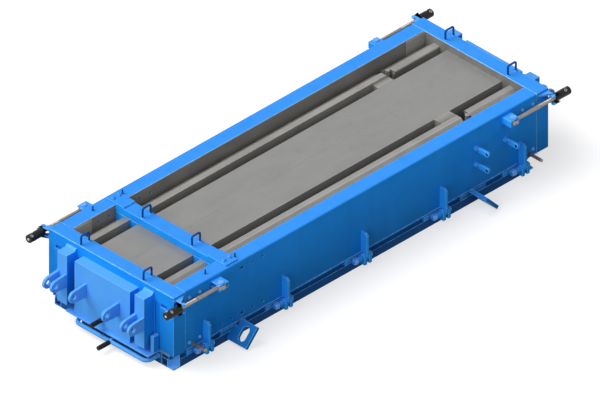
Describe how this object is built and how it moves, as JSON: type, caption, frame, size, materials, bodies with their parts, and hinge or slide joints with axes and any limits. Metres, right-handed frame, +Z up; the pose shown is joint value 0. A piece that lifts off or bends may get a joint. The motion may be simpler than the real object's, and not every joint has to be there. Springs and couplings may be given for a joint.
{
  "type": "concrete block mould",
  "caption": "Long steel mould for precast concrete with hinged side walls, end panels held by swing bolts, a raised core table and a lift-out divider on a carrying pallet.",
  "frame": {"origin": "on the floor, in the middle of the mould's length and width, directly under its frame", "axes": "+X along the mould from its near end to its far end, +Y to its left side, +Z up"},
  "size_m": [4.0978, 1.568, 0.6778],
  "materials": {
    "blue_paint": "satin",
    "bare_steel": "worn",
    "rod_steel": "satin",
    "black_steel": "satin",
    "black_grip": "matte"
  },
  "bodies": {
    "base": {"pallet_rails": "blue_paint", "pallet_crossmembers": "blue_paint", "deck_plate": "bare_steel", "near_ledge": "blue_paint", "stacking_feet": "blue_paint", "lifting_lugs": "blue_paint", "hinge_consoles": "blue_paint", "hinge_pins": "blue_paint", "core_skin_left": "bare_steel", "core_skin_right": "bare_steel", "core_ribs": "bare_steel", "end_frame_near": "blue_paint", "end_frame_far": "blue_paint", "end_boxes": "blue_paint", "end_columns": "blue_paint", "end_lugs_near": "blue_paint", "end_lugs_far": "blue_paint", "end_bows": "blue_paint", "fork_plates": "blue_paint", "stop_bracket": "blue_paint", "pull_bar": "blue_paint", "pull_bar_grip": "black_grip"},
    "side_left": {"side_shell_left": "blue_paint", "former_near_left": "bare_steel", "former_main_left": "bare_steel", "former_far_left": "bare_steel", "end_liners_left": "bare_steel", "liner_bolts_left": "blue_paint", "hinge_leaves_left": "blue_paint", "clevises_left": "blue_paint", "clevis_pins_left": "blue_paint", "flange_pins_left": "blue_paint"},
    "side_right": {"side_shell_right": "blue_paint", "former_near_right": "bare_steel", "former_main_right": "bare_steel", "former_far_right": "bare_steel", "end_liners_right": "bare_steel", "liner_bolts_right": "blue_paint", "hinge_leaves_right": "blue_paint", "clevises_right": "blue_paint", "clevis_pins_right": "blue_paint", "flange_pins_right": "blue_paint"},
    "divider": {"divider_beam": "blue_paint", "divider_legs": "blue_paint", "divider_bows": "blue_paint"},
    "bolt_near_left": {"swing_bolt_near_left": "rod_steel"},
    "nut_near_left": {"sleeve_nut_near_left": "black_steel"},
    "bolt_near_right": {"swing_bolt_near_right": "rod_steel"},
    "nut_near_right": {"sleeve_nut_near_right": "black_steel"},
    "bolt_far_left": {"swing_bolt_far_left": "rod_steel"},
    "nut_far_left": {"sleeve_nut_far_left": "black_steel"},
    "bolt_far_right": {"swing_bolt_far_right": "rod_steel"},
    "nut_far_right": {"sleeve_nut_far_right": "black_steel"},
    "screw_high": {"clamp_screw_high": "blue_paint"},
    "screw_low": {"clamp_screw_low": "blue_paint"},
    "screw_far": {"clamp_screw_far": "blue_paint"},
    "pin_near": {"locking_pin_near": "black_steel"},
    "pin_far": {"locking_pin_far": "black_steel"},
    "latch": {"latch_pin": "black_grip"}
  },
  "joints": [
    {"name": "right_side_tilt", "type": "hinge", "parent": "base", "child": "side_right", "pos_m": [0, -0.632, 0.09], "axis": [1, 0, 0], "range_deg": [0, 30]},
    {"name": "left_side_tilt", "type": "hinge", "parent": "base", "child": "side_left", "pos_m": [0, 0.632, 0.09], "axis": [-1, 0, 0], "range_deg": [0, 30]},
    {"name": "divider_lift", "type": "slide", "parent": "base", "child": "divider", "axis": [0, 0, 1], "range_m": [0, 0.48]},
    {"name": "bolt_swing_near_left", "type": "hinge", "parent": "side_left", "child": "bolt_near_left", "pos_m": [-1.405, 0.66, 0.54], "axis": [0, 0, -1], "range_deg": [0, 105]},
    {"name": "nut_spin_near_left", "type": "hinge", "parent": "bolt_near_left", "child": "nut_near_left", "pos_m": [-1.8568, 0.66, 0.54], "axis": [-1, 0, 0], "continuous": true},
    {"name": "bolt_swing_near_right", "type": "hinge", "parent": "side_right", "child": "bolt_near_right", "pos_m": [-1.405, -0.66, 0.54], "axis": [0, 0, 1], "range_deg": [0, 105]},
    {"name": "nut_spin_near_right", "type": "hinge", "parent": "bolt_near_right", "child": "nut_near_right", "pos_m": [-1.8568, -0.66, 0.54], "axis": [-1, 0, 0], "continuous": true},
    {"name": "bolt_swing_far_left", "type": "hinge", "parent": "side_left", "child": "bolt_far_left", "pos_m": [1.405, 0.66, 0.54], "axis": [0, 0, 1], "range_deg": [0, 105]},
    {"name": "nut_spin_far_left", "type": "hinge", "parent": "bolt_far_left", "child": "nut_far_left", "pos_m": [1.8568, 0.66, 0.54], "axis": [1, 0, 0], "continuous": true},
    {"name": "bolt_swing_far_right", "type": "hinge", "parent": "side_right", "child": "bolt_far_right", "pos_m": [1.405, -0.66, 0.54], "axis": [0, 0, -1], "range_deg": [0, 105]},
    {"name": "nut_spin_far_right", "type": "hinge", "parent": "bolt_far_right", "child": "nut_far_right", "pos_m": [1.8568, -0.66, 0.54], "axis": [1, 0, 0], "continuous": true},
    {"name": "screw_spin_high", "type": "hinge", "parent": "side_right", "child": "screw_high", "pos_m": [1.0995, -0.62, 0.438], "axis": [0, -1, 0], "continuous": true},
    {"name": "screw_spin_low", "type": "hinge", "parent": "side_right", "child": "screw_low", "pos_m": [1.0995, -0.62, 0.306], "axis": [0, -1, 0], "continuous": true},
    {"name": "screw_spin_far", "type": "hinge", "parent": "side_right", "child": "screw_far", "pos_m": [1.38, -0.62, 0.373], "axis": [0, -1, 0], "continuous": true},
    {"name": "pin_slide_near", "type": "slide", "parent": "side_right", "child": "pin_near", "axis": [0, -1, 0], "range_m": [0, 0.06]},
    {"name": "pin_slide_far", "type": "slide", "parent": "side_right", "child": "pin_far", "axis": [0, -1, 0], "range_m": [0, 0.06]},
    {"name": "latch_slide", "type": "slide", "parent": "base", "child": "latch", "axis": [-1, 0, 0], "range_m": [0, 0.06]}
  ],
  "couplings": [
    {"joint": "left_side_tilt", "follows": "right_side_tilt", "ratio": 1},
    {"joint": "divider_lift", "follows": "right_side_tilt", "m_per_rad": 0.9}
  ]
}
